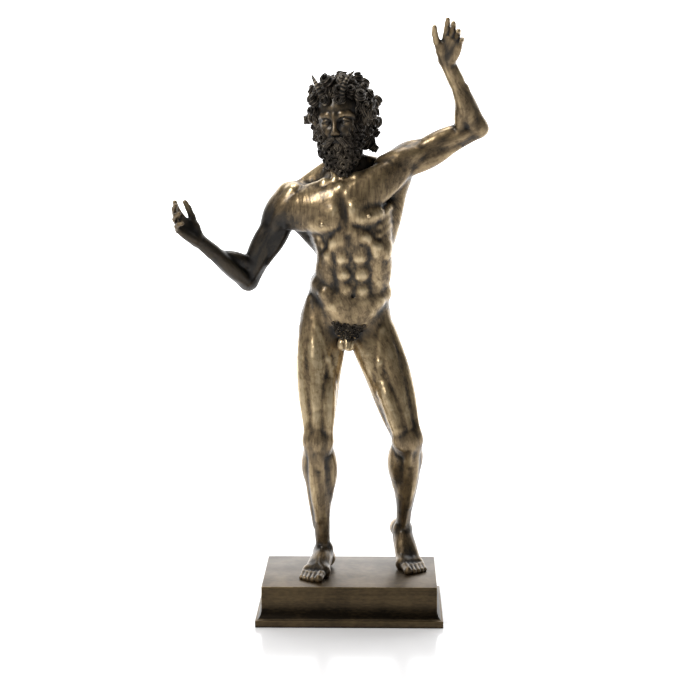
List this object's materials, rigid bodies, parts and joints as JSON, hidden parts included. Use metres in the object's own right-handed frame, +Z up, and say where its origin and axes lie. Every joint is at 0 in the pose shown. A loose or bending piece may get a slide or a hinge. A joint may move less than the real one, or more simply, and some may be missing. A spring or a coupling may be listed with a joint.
{
  "type": "resin satyr statuette",
  "caption": "Resin statuette of a dancing satyr with curly hair, beard and small horns, in a bronze finish, standing on a moulded rectangular plinth.",
  "frame": {"origin": "middle of the plinth's underside", "axes": "+Z up, the figure and the plinth's long side face -Y, +X to the viewer's right"},
  "size_m": [0.1795, 0.0797, 0.343],
  "materials": {
    "figure_bronze": "cold-cast resin with a satin bronze finish, dark in the hollows and rubbed golden brown on the raised forms",
    "plinth_bronze": "resin with a satin dark olive bronze finish, brushed lengthwise, with lighter rubbed edges"
  },
  "bodies": {
    "root": {"satyr_figure": "figure_bronze", "plinth": "plinth_bronze"}
  },
  "joints": []
}
